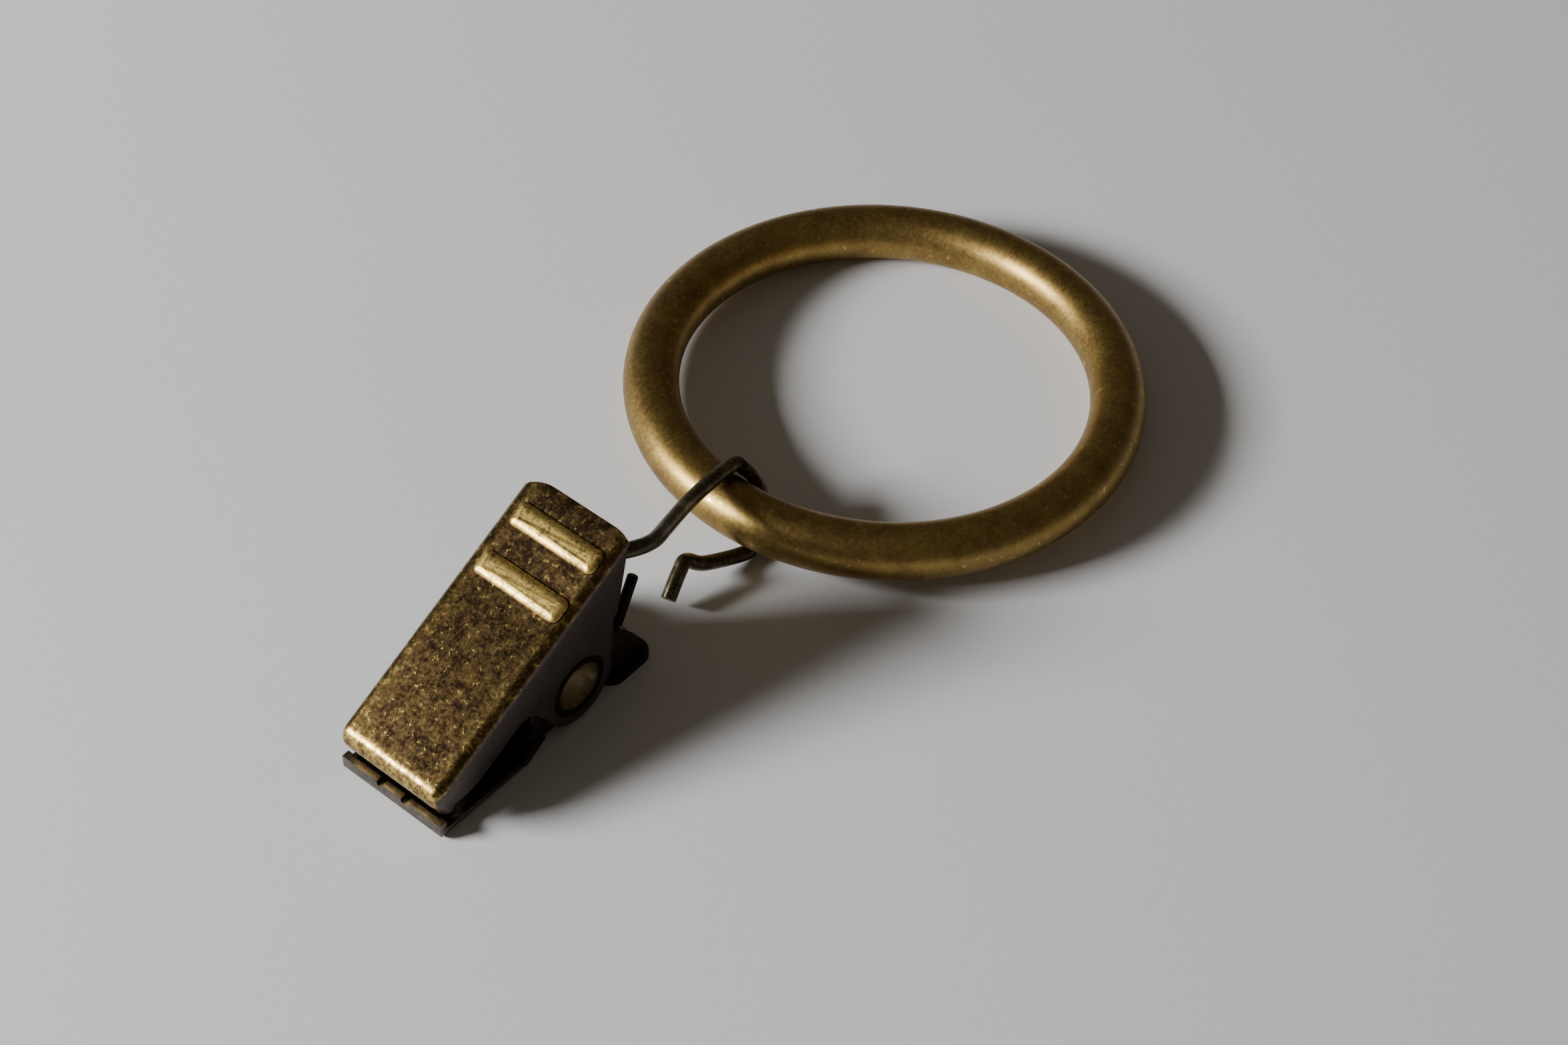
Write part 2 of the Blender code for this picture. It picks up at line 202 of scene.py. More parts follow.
def mergeDoubles(item, distance):
    chooseIn(item, "vertices", lambda spot: True)
    bpy.ops.mesh.select_all(action="SELECT")
    bpy.ops.mesh.remove_doubles(threshold=distance)
    leaveEdit()


def softenEdges(item, width, segments=3, sharpest=35):
    # flat areas are cleaned before the narrow rounding of every sharp edge
    chooseIn(item, "vertices", lambda spot: True)
    bpy.ops.mesh.select_all(action="SELECT")
    bpy.ops.mesh.remove_doubles(threshold=cutGap)
    bpy.ops.mesh.dissolve_limited(angle_limit=math.radians(0.6), use_dissolve_boundaries=False)
    leaveEdit()
    step = item.modifiers.new("Soft edges", "BEVEL")
    step.width = width
    step.segments = segments
    step.limit_method = "ANGLE"
    step.angle_limit = math.radians(sharpest)
    step.use_clamp_overlap = True
    step.miter_outer = "MITER_ARC"
    pick(item)
    bpy.ops.object.modifier_apply(modifier=step.name)


def shadeSmooth(item, angle):
    pick(item)
    bpy.ops.object.shade_smooth_by_angle(angle=math.radians(angle))


def spinProfile(name, profile, centre, axis, steps):
    # a half outline turned once round
    item = drawLine(name, profile)
    bpy.ops.object.mode_set(mode="EDIT")
    bpy.ops.mesh.select_all(action="SELECT")
    bpy.ops.mesh.spin(steps=steps, angle=2 * math.pi, center=centre, axis=axis)
    bpy.ops.mesh.select_all(action="SELECT")
    bpy.ops.mesh.remove_doubles(threshold=hair)
    bpy.ops.mesh.normals_make_consistent(inside=False)
    leaveEdit()
    return item


def arc(centre, radius, start, end, steps):
    angles = [math.radians(start + (end - start) * i / steps) for i in range(steps + 1)]
    return [(centre[0] + radius * math.cos(a), centre[1] + radius * math.sin(a)) for a in angles]


def smoothThrough(points, steps):
    # a soft curve through every point
    ends = [2 * points[0] - points[1], *points, 2 * points[-1] - points[-2]]
    path = []
    for before, start, end, after in zip(ends, ends[1:], ends[2:], ends[3:]):
        for i in range(steps):
            f = i / steps
            path.append(0.5 * (2 * start + (end - before) * f
                               + (2 * before - 5 * start + 4 * end - after) * f ** 2
                               + (3 * start - before - 3 * end + after) * f ** 3))
    path.append(points[-1])
    return path


def drawWire(name, points, radius, sides):
    # a drawn line turned into a round wire, with the edges of its cut ends rounded off
    item = drawLine(name, points)
    pick(item)
    bpy.ops.object.convert(target="CURVE")
    item = bpy.context.object
    item.data.bevel_depth = radius
    item.data.bevel_resolution = sides
    item.data.use_fill_caps = True
    pick(item)
    bpy.ops.object.convert(target="MESH")
    item = bpy.context.object
    mergeDoubles(item, 0.0005 * mm)
    softenEdges(item, radius * 0.25, 3, 65)
    return item


def finishPiece(item, body, node):
    settle(item)
    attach(item, body)
    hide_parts(node)
    print("made", item.name, len(item.data.polygons), "faces")


class Signal:
    # a socket that can be added to, multiplied and so on

    def __init__(self, recipe, plug):
        self.recipe = recipe
        self.plug = plug

    def maths(self, operation, first, second=0.5):
        return self.recipe.add("ShaderNodeMath", {"operation": operation}, {0: first, 1: second})

    def __add__(self, other):
        return self.maths("ADD", self, other)

    def __sub__(self, other):
        return self.maths("SUBTRACT", self, other)

    def __mul__(self, other):
        return self.maths("MULTIPLY", self, other)

    def __pow__(self, other):
        return self.maths("POWER", self, other)

    def __radd__(self, other):
        return self.maths("ADD", other, self)

    def __rsub__(self, other):
        return self.maths("SUBTRACT", other, self)

    def __abs__(self):
        return self.maths("ABSOLUTE", self)

    def orMore(self, other):
        return self.maths("MAXIMUM", self, other)


class Recipe:
    # one material and its nodes

    def __init__(self, name, metallic):
        self.material = bpy.data.materials.new(name)
        self.material.use_nodes = True
        self.tree = self.material.node_tree
        self.shader = self.tree.nodes["Principled BSDF"]
        self.shader.inputs["Metallic"].default_value = metallic

    def add(self, kind, settings=None, inputs=None, output=0):
        node = self.tree.nodes.new(kind)
        for name, value in (settings or {}).items():
            setattr(node, name, value)
        for name, value in (inputs or {}).items():
            self.put(node.inputs[name], value)
        return Signal(self, node.outputs[output])

    def put(self, socket, value):
        if isinstance(value, Signal):
            self.tree.links.new(value.plug, socket)
        elif socket.type == "RGBA":
            socket.default_value = (*value, 1)
        else:
            socket.default_value = value

    def point(self, turn=(0, 0, 0), shift=(0, 0, 0)):
        # the place on the piece, seen from a chosen origin and tilt
        here = self.add("ShaderNodeTexCoord", output="Object")
        moved = self.add("ShaderNodeVectorMath", {"operation": "SUBTRACT"}, {0: here, 1: shift})
        return self.add("ShaderNodeMapping", {}, {"Vector": moved, "Rotation": turn})

    def parts(self, point):
        return [self.add("ShaderNodeSeparateXYZ", {}, {"Vector": point}, output=i) for i in range(3)]

    def noise(self, point, scale, detail, roughness):
        return self.add("ShaderNodeTexNoise", {}, {"Vector": point, "Scale": scale, "Detail": detail,
                                                   "Roughness": roughness})

    def between(self, value, low, high):
        # 0 below low, 1 above high, soft in between
        return self.add("ShaderNodeMapRange", {"interpolation_type": "SMOOTHSTEP"},
                        {"Value": value, "From Min": low, "From Max": high})

    def mix(self, amount, first, second):
        # sockets 6 and 7 are the colours of a Mix node, and output 2 is its colour
        return self.add("ShaderNodeMix", {"data_type": "RGBA"}, {0: amount, 6: first, 7: second}, output=2)

    def bump(self, height, strength, distance):
        return self.add("ShaderNodeBump", {},
                        {"Height": height, "Strength": strength, "Distance": distance})

    def finish(self, colour, roughness, normal=None):
        self.put(self.shader.inputs["Base Color"], colour)
        self.put(self.shader.inputs["Roughness"], roughness)
        if normal:
            self.put(self.shader.inputs["Normal"], normal)
        return self.material


clipBrass = {
    "dark": (0.034, 0.019, 0.011),     # patina left in the pits
    "middle": (0.140, 0.090, 0.034),
    "light": (0.70, 0.50, 0.15),       # brass rubbed through at the folds, also the colour of the painted glints
    "dullAndShade": (0.105, 0.082, 0.076),     # the greyer flanges
    "sparkle": 0.9,                    # how far the bright specks stand up
    "mottleScale": 1050,               # patches under a millimetre across
    "grainScale": 3400,
    "spread": 0.11,                    # contrast between patina and brass
    "roughness": 0.33,
    "polished": 0.26,
}

# the lower jaw has kept more of its patina
lowerBrass = {**clipBrass, "dullAndShade": (0.160, 0.145, 0.125), "sparkle": 0.0}

ringBrass = {
    "dark": (0.235, 0.142, 0.049),
    "middle": (0.380, 0.262, 0.078),
    "light": (0.56, 0.41, 0.16),
    "dullAndShade": (0.20, 0.14, 0.08),
    "sparkle": 0.0,
    "mottleScale": 420,
    "grainScale": 2600,
    "spread": 0.18,
    "roughness": 0.42,
    "polished": 0.36,
}

pinBrass = {
    "dark": (0.150, 0.110, 0.066),
    "middle": (0.320, 0.240, 0.140),
    "light": (0.32, 0.25, 0.15),
    # the pin's drab colour is the painted shade on its dish's rim and upper side
    "dullAndShade": (0.022, 0.016, 0.013),
    "sparkle": 0.0,
    "mottleScale": 900,
    "grainScale": 2900,
    "spread": 0.16,
    "roughness": 0.62,
    "polished": 0.54,
}


# how every brass mixes its noises, and where one colour gives way to the next
patina = {
    "broad": 0.58,
    "grain": 0.42,
    "rubbed": 0.17,
    # how far the darkening masks lower the level; on the lower jaw this is painted shade
    "darkening": 0.04,
    "middle": 0.49,
    "bright": (0.57, 0.80),
    "speckScale": 0.62,
    "glint": (0.65, 0.72),
    "greyBand": (0.36, 0.62),
    "bumpStrength": 0.22,
    "bumpDepth": 0.05 * mm,
}


def darker(colour, share):
    return tuple(value * share for value in colour)


def antiqueBrass(name, look, wear=None, shade=None, greyAndShade=None):
    # functions that build masks: where it is rubbed bright, where it is painted darker (painted shade on the
    # lower jaw) and where it is drab and greyish (painted shade on the pin)
    recipe = Recipe(name, 1.0)
    here = recipe.point()
    broad = recipe.noise(here, look["mottleScale"], 5, 0.62)
    grain = recipe.noise(here, look["grainScale"], 3, 0.6)
    specks = recipe.noise(here, look["grainScale"] * patina["speckScale"], 2, 0.5)
    rubbed = wear(recipe) if wear else broad * 0
    darkening = shade(recipe) if shade else broad * 0
    dullAndShade = greyAndShade(recipe) if greyAndShade else broad * 0
    level = (broad * patina["broad"] + grain * patina["grain"] + rubbed * patina["rubbed"]
             - darkening * patina["darkening"])
    share = recipe.between(level, patina["middle"] - look["spread"], patina["middle"] + look["spread"])
    body = recipe.mix(share, look["dark"], look["middle"])
    bright = recipe.between(level, *patina["bright"])
    # glints: small real scratches, painted in the light brass colour as painted glints
    glint = recipe.between(specks, *patina["glint"]) * (1 - darkening * 0.5)
    colour = recipe.mix(bright.orMore(glint), body, look["light"])
    # the drab greyish colour, which on the pin is painted shade; the darkening mixed into it is painted shade
    # on the lower jaw
    dullAndShadeTone = recipe.mix(recipe.between(level, *patina["greyBand"]), darker(look["dullAndShade"], 0.6), look["dullAndShade"])
    dullAndShadeTone = recipe.mix(darkening * 0.75, dullAndShadeTone, darker(look["dark"], 0.5))
    colour = recipe.mix(dullAndShade, colour, dullAndShadeTone)
    # rubbed and bright metal is smoother, and drab or darkened metal rougher
    finish = look["roughness"] + dullAndShade * 0.12 + recipe.between(rubbed, 1.0, 1.3) * 0.16
    finish = finish - bright * (look["roughness"] - look["polished"]) + (grain - 0.5) * 0.16
    finish = finish - glint * 0.12 + darkening * 0.10
    height = grain * 0.5 + broad * 0.5 + glint * look["sparkle"]
    bump = recipe.bump(height, patina["bumpStrength"], patina["bumpDepth"])
    return recipe.finish(colour, finish, bump)


def seenFromPlate(recipe):
    # along, sideways and up in the tilted frame of the upper jaw's plate
    return recipe.parts(recipe.point(turn=(0, math.radians(layout["slope"]), 0), shift=pivotPlace))


def seenFromPin(recipe):
    return recipe.parts(recipe.point(shift=pivotPlace))


def upperWear(recipe):
    # the folds of the upper jaw, its lip and its ribs
    along, side, up = seenFromPlate(recipe)
    half = layout["clipWidth"] / 2
    folds = recipe.between(abs(side), half - 2.3 * mm, half - 1.0 * mm) * 0.5
    lip = 1 - recipe.between(along, upperJaw["front"] + 0.6 * mm, upperJaw["front"] + 2.4 * mm)
    ribs = recipe.between(up, upperJaw["top"] + 0.06 * mm, upperJaw["top"] + 0.24 * mm) * 1.3
    return folds.orMore(lip).orMore(ribs)


def upperDarkening(recipe):
    # darker on the flat plate in the hollows beside and behind the ribs, away from the sides
    along, side, up = seenFromPlate(recipe)
    rear = recipe.between(along, upperJaw["front"] + 16.2 * mm, upperJaw["front"] + 18.5 * mm)
    flat = 1 - recipe.between(up, upperJaw["top"] + 0.02 * mm, upperJaw["top"] + 0.2 * mm)
    middle = 1 - recipe.between(abs(side), 4.3 * mm, 5.3 * mm)
    return rear * flat * middle


def upperGrey(recipe):
    # the flanges, from the folds down
    _, side, up = seenFromPlate(recipe)
    half = layout["clipWidth"] / 2
    outside = recipe.between(abs(side), half - 0.5 * mm, half - 0.2 * mm)
    below = 1 - recipe.between(up, upperJaw["top"] - 0.75 * mm, upperJaw["top"] - 0.3 * mm)
    return outside * below


def lowerWear(recipe):
    along, side, _ = seenFromPin(recipe)
    half = layout["clipWidth"] / 2
    edge = recipe.between(abs(side), half - 0.7 * mm, half - 0.1 * mm)
    lip = 1 - recipe.between(along, -layout["pivot"][0] + 0.5 * mm, -layout["pivot"][0] + 1.4 * mm)
    return edge.orMore(lip) * 0.1


# painted shade: darker from the lip back toward the pivot, and fully dark over the ear and the handle that
# lie under the upper jaw
def lowerPaintedShade(recipe):
    return recipe.between(seenFromPin(recipe)[0], -14 * mm, -4 * mm)


def lowerGrey(recipe):
    return 0.85 + recipe.between(seenFromPin(recipe)[0], -10 * mm, -4 * mm) * 0.1


def pinPaintedShade(recipe):
    # painted shade: the rim round each dish and the dish's upper side are painted dark, for the shade inside
    # the recess
    along, _, up = seenFromPin(recipe)
    rim = recipe.between((along * along + up * up) ** 0.5, 2.2 * mm, 2.4 * mm)
    upperSideShade = recipe.between(up - along, -0.4 * mm, 1.6 * mm) * 0.9
    return rim.orMore(upperSideShade)


ring = {"radius": 21.6 * mm, "bar": 2.6 * mm, "steps": 180, "sides": 48}


def makeRing():
    low, high = (Vector(corner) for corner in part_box("curtain_ring"))
    middle = (low + high) / 2
    rise = (high.z - low.z) - 2 * ring["bar"]
    tilt = math.asin(rise / (2 * ring["radius"]))
    start = middle + Vector((ring["radius"], 0, 0))
    circle = arc((start.x, start.z), ring["bar"], 0, 360, ring["sides"])
    outline = [(x, middle.y, z) for x, z in circle]
    item = spinProfile("round_ring", outline, middle, (0, 0, 1), ring["steps"])
    # the near side rests on the wire
    item.rotation_euler = (0, tilt, 0)
    item.location = middle - item.rotation_euler.to_matrix() @ middle
    settle(item)
    shadeSmooth(item, 60)
    item.data.materials.append(antiqueBrass("ring brass", ringBrass))
    finishPiece(item, "ring", "curtain_ring")


upperJaw = {
    "frontAlong": -0.8 * mm,
    "frontHeight": 5.2 * mm,
    "length": 27.2 * mm,
    "lip": 3.2 * mm,
    "lipFold": 1.5 * mm,
    "rearFlange": 6.05 * mm,
    "corners": (2.9 * mm, 1.6 * mm),
    "bore": 3.01 * mm,
    "ear": 3.9 * mm,
    "ribs": (18.8 * mm, 23.75 * mm),
    "ribLength": 9.4 * mm,
    "ribMiddle": -0.2 * mm,
    "ribWidth": 2.4 * mm,
    "ribHeight": 0.5 * mm,
    "ribRounding": 0.9 * mm,
    "ribCorner": 0.6 * mm,
    "foldSteps": 8,
    "depth": 14 * mm,
    "eyeRoom": 0.3 * mm,
    "edgeWidth": 0.11 * mm,
}


def inJaw(along, up):
    # a step in the upright plane, seen in the tilted frame of the plate
    slope = math.radians(layout["slope"])
    return along * math.cos(slope) + up * math.sin(slope), up * math.cos(slope) - along * math.sin(slope)


pivotInJaw = inJaw(layout["pivot"][0] - upperJaw["frontAlong"],
                   layout["pivot"][1] - upperJaw["frontHeight"])
upperJaw["front"] = -pivotInJaw[0]
upperJaw["top"] = -pivotInJaw[1]


def sideEdge():
    # the jaw's side view, from the lip under the flange and round the ear to the handle's end,
    # first in mm from the front of the plate's top
    edge = [(-1, 1), (-1, -3.2), (0.9, -3.2), (1.2, -2.9), (1.7, -3.1), (2.3, -3.4), (3, -3.7), (4, -3.9),
            (9.6, -3.9), (10.6, -4.3), (11.1, -5.2)]
    edge = [(s * mm, t * mm) for s, t in edge]
    edge += arc(pivotInJaw, upperJaw["ear"], 170, 330, 48)
    edge += arc((21.4 * mm, -upperJaw["rearFlange"] + 1.2 * mm), 1.2 * mm, 270, 320, 8)
    edge += [(25.4 * mm, -1.9 * mm), (26.3 * mm, -0.7 * mm), (upperJaw["length"] + mm, -0.7 * mm),
             (upperJaw["length"] + mm, mm)]
    return [(s - pivotInJaw[0], t - pivotInJaw[1]) for s, t in edge]


def makeUpperJaw():
    half = layout["clipWidth"] / 2
    front, top = upperJaw["front"], upperJaw["top"]
    end = front + upperJaw["length"]
    jaw = addBlock("upper_clip_jaw", (front, -half, top - upperJaw["depth"]),
                   (end + 2 * mm, half, top))

    def lipFold(a, b):
        return all(abs(spot.z - top) < hair and abs(spot.x - front) < hair for spot in (a, b))

    def longFold(a, b):
        middle = (a + b) / 2
        low = top - upperJaw["depth"] + mm
        return abs(abs(middle.y) - half) < hair and middle.x < end and middle.z > low

    roundEdges(jaw, lipFold, upperJaw["lipFold"], 12)
    roundEdges(jaw, longFold, layout["fold"], upperJaw["foldSteps"])
    deleteFaces(jaw, lambda middle, normal: normal.z < -0.9 or normal.x > 0.9)
    giveThickness(jaw, layout["sheet"])
    combine(jaw, drawPrism("side view", sideEdge(), layout["clipWidth"]), "INTERSECT")
    plan = addBlock("plan view", (front - mm, -half - mm, top - upperJaw["depth"] - mm),
                    (end, half + mm, top + mm))
    for side, radius in zip((1, -1), upperJaw["corners"]):

        def rearCorner(a, b):
            return all(abs(spot.x - end) < hair and spot.y * side > half for spot in (a, b))

        roundEdges(plan, rearCorner, radius + mm, 12)
    combine(jaw, plan, "INTERSECT")
    combine(jaw, addDrill("bore", (0, 0), upperJaw["bore"], -half - mm, half + mm), "DIFFERENCE")
    eye = inJaw(layout["eye"][0] - layout["pivot"][0], layout["eye"][1] - layout["pivot"][1])
    eyeHole = addDrill("eye hole", eye, hanger["wire"] + upperJaw["eyeRoom"],
                       half - 2 * layout["sheet"], half + mm, 32)
    combine(jaw, eyeHole, "DIFFERENCE")
    softenEdges(jaw, upperJaw["edgeWidth"])
    halfRib, halfLength = upperJaw["ribWidth"] / 2, upperJaw["ribLength"] / 2
    rise = upperJaw["ribRounding"] + 0.1 * mm
    for spot in upperJaw["ribs"]:
        low = (front + spot - halfRib, upperJaw["ribMiddle"] - halfLength, top - layout["sheet"] / 2)
        high = (front + spot + halfRib, upperJaw["ribMiddle"] + halfLength, top + rise)
        rib = addBlock("rib", low, high)
        roundEdges(rib, lambda a, b: abs(a.z - b.z) > 0.1 * mm, upperJaw["ribCorner"], 6)
        roundEdges(rib, lambda a, b: a.z > top and b.z > top, upperJaw["ribRounding"], 10)
        # a low curve, wider than it is high
        chooseIn(rib, "vertices", lambda spot: spot.z > top)
        bpy.ops.transform.resize(value=(1, 1, upperJaw["ribHeight"] / rise), center_override=(0, 0, top))
        leaveEdit()
        combine(jaw, rib, "UNION")
    mergeDoubles(jaw, cutGap)
    jaw.rotation_euler = (0, -math.radians(layout["slope"]), 0)
    jaw.location = pivotPlace
    settle(jaw)
    shadeSmooth(jaw, 30)
    jaw.data.materials.append(antiqueBrass("upper jaw brass", clipBrass, upperWear, upperDarkening, upperGrey))
    finishPiece(jaw, "upper", "upper_jaw")


lowerJaw = {
    "front": -0.2 * mm,
    "lip": 1.95 * mm,
    "edge": 1.1 * mm,
    "fold": 0.65 * mm,
    "trayEnd": 13.2 * mm,
    "channelStart": 9.6 * mm,
    "channelEnd": 25.3 * mm,
    "wall": 11.0 * mm,
    "wing": 11.0 * mm,
    "wingStart": 20.6 * mm,
    "wingCorner": 1.5 * mm,
    "end": 26.3 * mm,
    "notches": (-1.3 * mm, 1.5 * mm),
    "notchWidth": 0.7 * mm,
    "notchDepth": 0.5 * mm,
    "bore": 2.6 * mm,
    "ear": 3.75 * mm,
    "edgeWidth": 0.1 * mm,
}


def makeLowerJaw():
    pivotAlong, floor = layout["pivot"][0], -layout["pivot"][1]
    half, sheet = layout["channelWidth"] / 2, layout["sheet"]
    ramp, end = lowerJaw["channelStart"] - pivotAlong, lowerJaw["channelEnd"] - pivotAlong
    start = ramp - mm
    jaw = addBlock("lower_clip_jaw", (start, -half, floor), (end, half, floor + lowerJaw["wall"]))

    def channelFold(a, b):
        return (abs(abs(a.y) - half) < hair and abs(a.z - floor) < hair and abs(b.z - floor) < hair
                and abs(a.x - b.x) > mm)

    roundEdges(jaw, channelFold, layout["fold"], 8)
    deleteFaces(jaw, lambda middle, normal: normal.z > 0.9 or abs(normal.x) > 0.9)
    giveThickness(jaw, sheet)
    edge = [(ramp - 2 * mm, floor - mm), (ramp - 2 * mm, floor + sheet), (ramp, floor + sheet),
            (ramp + 0.4 * mm, floor + 1.1 * mm), (ramp + 2.4 * mm, floor + 2.6 * mm),
            *arc((0, 0), lowerJaw["ear"], 165, 25, 40),
            *arc((end - 3.2 * mm, floor + 4.7 * mm), 1.3 * mm, 85, 35, 8),
            (end - 0.5 * mm, floor + 3.1 * mm), (end, floor + 1.6 * mm), (end + 2 * mm, floor + 1.6 * mm),
            (end + 2 * mm, floor - mm)]
    combine(jaw, drawPrism("side view", edge, layout["clipWidth"]), "INTERSECT")

    front, tray = lowerJaw["front"] - pivotAlong, lowerJaw["trayEnd"] - pivotAlong
    wide = layout["clipWidth"] / 2
    gripping = addBlock("tray", (front, -wide, floor), (tray, wide, floor + lowerJaw["lip"]))
    chooseIn(gripping, "edges", lambda a, b: True)
    bpy.ops.mesh.bisect(plane_co=(ramp, 0, 0), plane_no=(1, 0, 0))
    leaveEdit()
    # the sides come in to meet the channel
    chooseIn(gripping, "vertices", lambda spot: spot.x > tray - hair)
    narrow = (layout["channelWidth"] - 0.2 * mm) / layout["clipWidth"]
    bpy.ops.transform.resize(value=(1, narrow, 1), center_override=(0, 0, 0))
    leaveEdit()

    def folded(a, b):
        middle = (a + b) / 2
        alongSide = abs(middle.y) > half and abs(a.y - b.y) < mm
        return abs(middle.z - floor) < hair and (abs(middle.x - front) < hair or alongSide)

    roundEdges(gripping, folded, lowerJaw["fold"], 8)
    deleteFaces(gripping, lambda middle, normal: normal.z > 0.9 or normal.x > 0.9)
    giveThickness(gripping, sheet)
    behind = front + sheet + 0.15 * mm
    trim = [(behind, floor + lowerJaw["lip"] + mm), (behind, floor + lowerJaw["edge"]),
            (tray - 0.5 * mm, floor + lowerJaw["edge"]), (tray, floor + sheet + 0.2 * mm),
            (tray + 0.1 * mm, floor + lowerJaw["lip"] + mm)]
    combine(gripping, drawPrism("trim", trim, layout["clipWidth"]), "DIFFERENCE")
    combine(jaw, gripping, "UNION")
    wing = addBlock("wing", (lowerJaw["wingStart"] - pivotAlong, -lowerJaw["wing"] / 2, floor),
                    (lowerJaw["end"] - pivotAlong, lowerJaw["wing"] / 2, floor + sheet))
    roundEdges(wing, lambda a, b: abs(a.z - b.z) > sheet / 2, lowerJaw["wingCorner"], 10)
    combine(jaw, wing, "UNION")
    combine(jaw, addDrill("bore", (0, 0), lowerJaw["bore"], -wide, wide), "DIFFERENCE")
    halfNotch, rim = lowerJaw["notchWidth"] / 2, floor + lowerJaw["lip"]
    for side in lowerJaw["notches"]:
        notch = addBlock("notch", (front - mm, -side - halfNotch, rim - lowerJaw["notchDepth"]),
                         (front + mm, -side + halfNotch, rim + mm))
        combine(jaw, notch, "DIFFERENCE")
    softenEdges(jaw, lowerJaw["edgeWidth"])
    jaw.location = pivotPlace
    settle(jaw)
    shadeSmooth(jaw, 30)
    jaw.data.materials.append(antiqueBrass("lower jaw brass", lowerBrass, lowerWear, lowerPaintedShade, lowerGrey))
    finishPiece(jaw, "lower", "lower_jaw")


pin = {"waist": 2.3 * mm, "head": 2.95 * mm, "proud": 0.1 * mm, "dish": 2.35 * mm, "depth": 1.8 * mm,
       "rim": 0.15 * mm, "steps": 72}


def makePin():
    reach = layout["clipWidth"] / 2 + pin["proud"]
    shoulder = layout["clipWidth"] / 2 - layout["sheet"]
    wall = [(pin["dish"] * math.sin(a), reach - pin["depth"] * math.cos(a) ** 1.5)
            for a in (math.radians(9 * i) for i in range(10))]
    half = wall + arc((pin["head"] - pin["rim"], reach - pin["rim"]), pin["rim"], 90, 0, 6)
    half += [(pin["head"], shoulder), (pin["waist"], shoulder)]
    half += [(r, -s) for r, s in reversed(half)]
    profile = [pivotPlace + Vector((r, s, 0)) for r, s in half]
    item = spinProfile("pivot_eyelet", profile, pivotPlace, (0, 1, 0), pin["steps"])
    shadeSmooth(item, 40)
    # the pin's painted shade goes in as its drab mask
    item.data.materials.append(antiqueBrass("pin brass", pinBrass, greyAndShade=pinPaintedShade))
    finishPiece(item, "lower", "pivot_pin")


hangerWire = {"colour": (0.070, 0.056, 0.030), "worn": (0.20, 0.165, 0.09), "roughness": 0.36}
springWire = {"colour": (0.012, 0.009, 0.007), "worn": (0.030, 0.023, 0.017), "roughness": 0.55}
wireGrain = {"broad": 700, "drawn": 3600, "wornBand": (0.44, 0.64), "bump": 0.2, "bumpDepth": 0.03 * mm}


def wireFinish(name, look):
    recipe = Recipe(name, 0.9)
    here = recipe.point()
    broad = recipe.noise(here, wireGrain["broad"], 3, 0.6)
    drawn = recipe.noise(here, wireGrain["drawn"], 3, 0.6)
    worn = recipe.between(broad * 0.6 + drawn * 0.4, *wireGrain["wornBand"])
    colour = recipe.mix(worn, look["colour"], look["worn"])
    finish = look["roughness"] + (drawn - 0.5) * 0.3 - worn * 0.06
    return recipe.finish(colour, finish, recipe.bump(drawn, wireGrain["bump"], wireGrain["bumpDepth"]))


spring = {
    "wire": 0.5 * mm,
    "coilRadius": 3.0 * mm,
    "turns": 4,
    "side": 3.4 * mm,
    "endSide": -2.1 * mm,
    "upperAngle": 52,
    "upperLeg": 9.6 * mm,
    "tip": (26.0 * mm, 8.8 * mm),
    "tipAngle": 62,
    "bend": 1.2 * mm,
    "stepDegrees": 9,
}


def makeSpring():
    tilt = math.radians(spring["tipAngle"])
    legHeight = layout["pivot"][1] - spring["coilRadius"]
    foot = spring["tip"][0] - (spring["tip"][1] - legHeight) / math.tan(tilt)
    tangent = spring["bend"] * math.tan(tilt / 2)
    bend = arc((foot - tangent, legHeight + spring["bend"]), spring["bend"], spring["tipAngle"] - 90, -90, 12)
    points = [place(spring["tip"][0], spring["side"], spring["tip"][1])]
    points += [place(along, spring["side"], height) for along, height in bend]
    leave = -360 * spring["turns"] - 180 - spring["upperAngle"]
    steps = round((-90 - leave) / spring["stepDegrees"])
    for i in range(steps + 1):
        angle = math.radians(-90 + (leave + 90) * i / steps)
        side = spring["side"] + (spring["endSide"] - spring["side"]) * i / steps
        points.append(place(layout["pivot"][0] + spring["coilRadius"] * math.cos(angle), side,
                            layout["pivot"][1] + spring["coilRadius"] * math.sin(angle)))
    lean = math.radians(spring["upperAngle"])
    points.append(points[-1] + Vector((math.cos(lean), 0, math.sin(lean))) * spring["upperLeg"])
    item = drawWire("coil_spring", points, spring["wire"], 5)
    shadeSmooth(item, 50)
    item.data.materials.append(wireFinish("spring wire finish", springWire))
    settle(item)
    # on the real clip one leg stays with each jaw and the coil twists between them; here the places of the
    # coil's two ends on the pivot axis are worked out but not used, and the spring is baked in place
    height = layout["pivot"][1]
    place(layout["pivot"][0], spring["side"], height)
    place(layout["pivot"][0], spring["endSide"], height)
    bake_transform(item)
    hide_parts("torsion_spring")
    print("made", item.name, len(item.data.polygons), "faces")


hanger = {
    "wire": 0.7 * mm,
    "eyeEnds": (-6.3 * mm, -1.6 * mm),
    # the leg and the tail are in mm along the clip, sideways and up
    "leg": ((21.9, 0.9, 13.4), (23.2, 3.1, 13.8), (24.8, 4.5, 13.9), (27.3, 4.6, 12.9), (30.3, 3.5, 11.5),
            (35.9, 1.4, 9.0)),
    "loopRadius": 3.45 * mm,
    "loopAngles": (64, -110),
    "loopSides": (0.3 * mm, 4.3 * mm),
    "loopSteps": 7,
    "tail": ((35.6, 3.0, 1.95), (33.9, 2.3, 3.2), (32.9, 2.45, 2.9), (30.6, 3.1, 1.5)),
    "steps": 8,
}


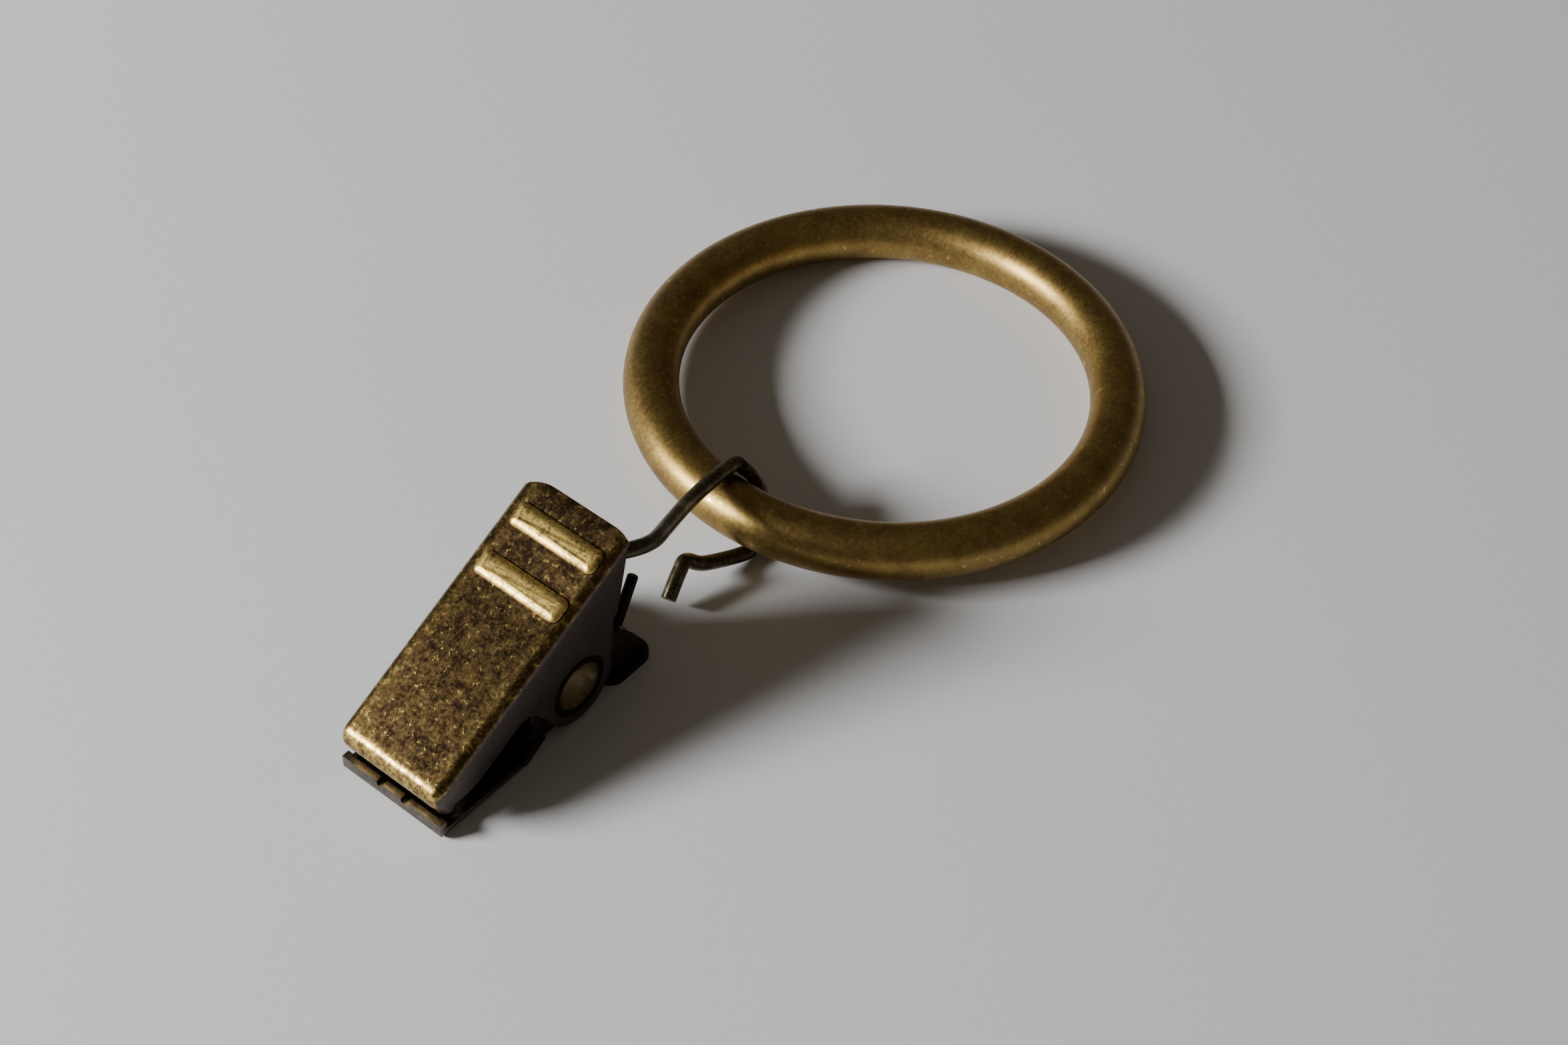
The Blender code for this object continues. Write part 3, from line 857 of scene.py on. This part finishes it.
def makeHanger():
    inner = [place(layout["eye"][0], side, layout["eye"][1]) for side in hanger["eyeEnds"]]
    leg = [place(*(value * mm for value in point)) for point in hanger["leg"]]
    first, last = hanger["loopSides"]
    turns = hanger["loopSteps"]
    turn = arc(layout["ringHinge"], hanger["loopRadius"], *hanger["loopAngles"], turns)
    loop = [place(along, first + (last - first) * i / turns, height)
            for i, (along, height) in enumerate(turn)]
    tail = [place(*(value * mm for value in point)) for point in hanger["tail"]]
    points = inner[:1] + smoothThrough(inner[1:] + leg + loop + tail, hanger["steps"])
    item = drawWire("wire_hanger", points, hanger["wire"], 6)
    shadeSmooth(item, 50)
    item.data.materials.append(wireFinish("hanger wire finish", hangerWire))
    finishPiece(item, "hanger", "hanger_wire")


table = {"size": 3.0, "colour": (0.80, 0.80, 0.805), "shade": 0.965, "roughness": 0.75, "fibre": 900,
         "cloud": 14, "bump": 0.06, "bumpDepth": 0.1 * mm}
window = {"direction": (-0.720, 0.551, 0.423), "distance": 0.85, "width": 0.295, "height": 0.18,
          "power": 13.4, "colour": (0.99, 0.995, 1.0)}
room = {"colour": (1.0, 0.86, 0.68), "strength": 0.084}
view = {"place": (-0.13896, -0.11884, 0.19858), "turn": (42.657, -0.569, -49.819), "lens": 68.88,
        "sensor": 36, "nearest": 0.01}


def makeTable():
    deselectAll()
    bpy.ops.mesh.primitive_plane_add(size=table["size"], location=(0, 0, 0))
    item = bpy.context.object
    item.name = "table_top"
    recipe = Recipe("pale table", 0.0)
    here = recipe.point()
    fibre = recipe.noise(here, table["fibre"], 4, 0.6)
    cloud = recipe.noise(here, table["cloud"], 2, 0.5)
    level = fibre * 0.5 + cloud * 0.5
    shaded = darker(table["colour"], table["shade"])
    colour = recipe.mix(recipe.between(level, 0.3, 0.7), shaded, table["colour"])
    bump = recipe.bump(fibre, table["bump"], table["bumpDepth"])
    item.data.materials.append(recipe.finish(colour, table["roughness"], bump))


def makeLight():
    direction = Vector(window["direction"]).normalized()
    deselectAll()
    bpy.ops.object.light_add(type="AREA", location=direction * window["distance"])
    lamp = bpy.context.object
    lamp.name = "window"
    lamp.rotation_euler = direction.to_track_quat("Z", "Y").to_euler()
    lamp.data.shape = "RECTANGLE"
    lamp.data.size = window["width"]
    lamp.data.size_y = window["height"]
    lamp.data.energy = window["power"]
    lamp.data.color = window["colour"]
    world = bpy.data.worlds.new("room")
    world.use_nodes = True
    background = world.node_tree.nodes["Background"]
    background.inputs["Color"].default_value = (*room["colour"], 1)
    background.inputs["Strength"].default_value = room["strength"]
    bpy.context.scene.world = world


def makeCamera():
    deselectAll()
    bpy.ops.object.camera_add(location=view["place"], rotation=[math.radians(a) for a in view["turn"]])
    camera = bpy.context.object
    camera.data.lens = view["lens"]
    camera.data.sensor_width = view["sensor"]
    camera.data.clip_start = view["nearest"]
    bpy.context.scene.camera = camera


makeCamera()
makeLight()
makeTable()
print("table, light and camera set")
makeRing()
makeUpperJaw()
makeLowerJaw()
makePin()
makeSpring()
makeHanger()
deselectAll()
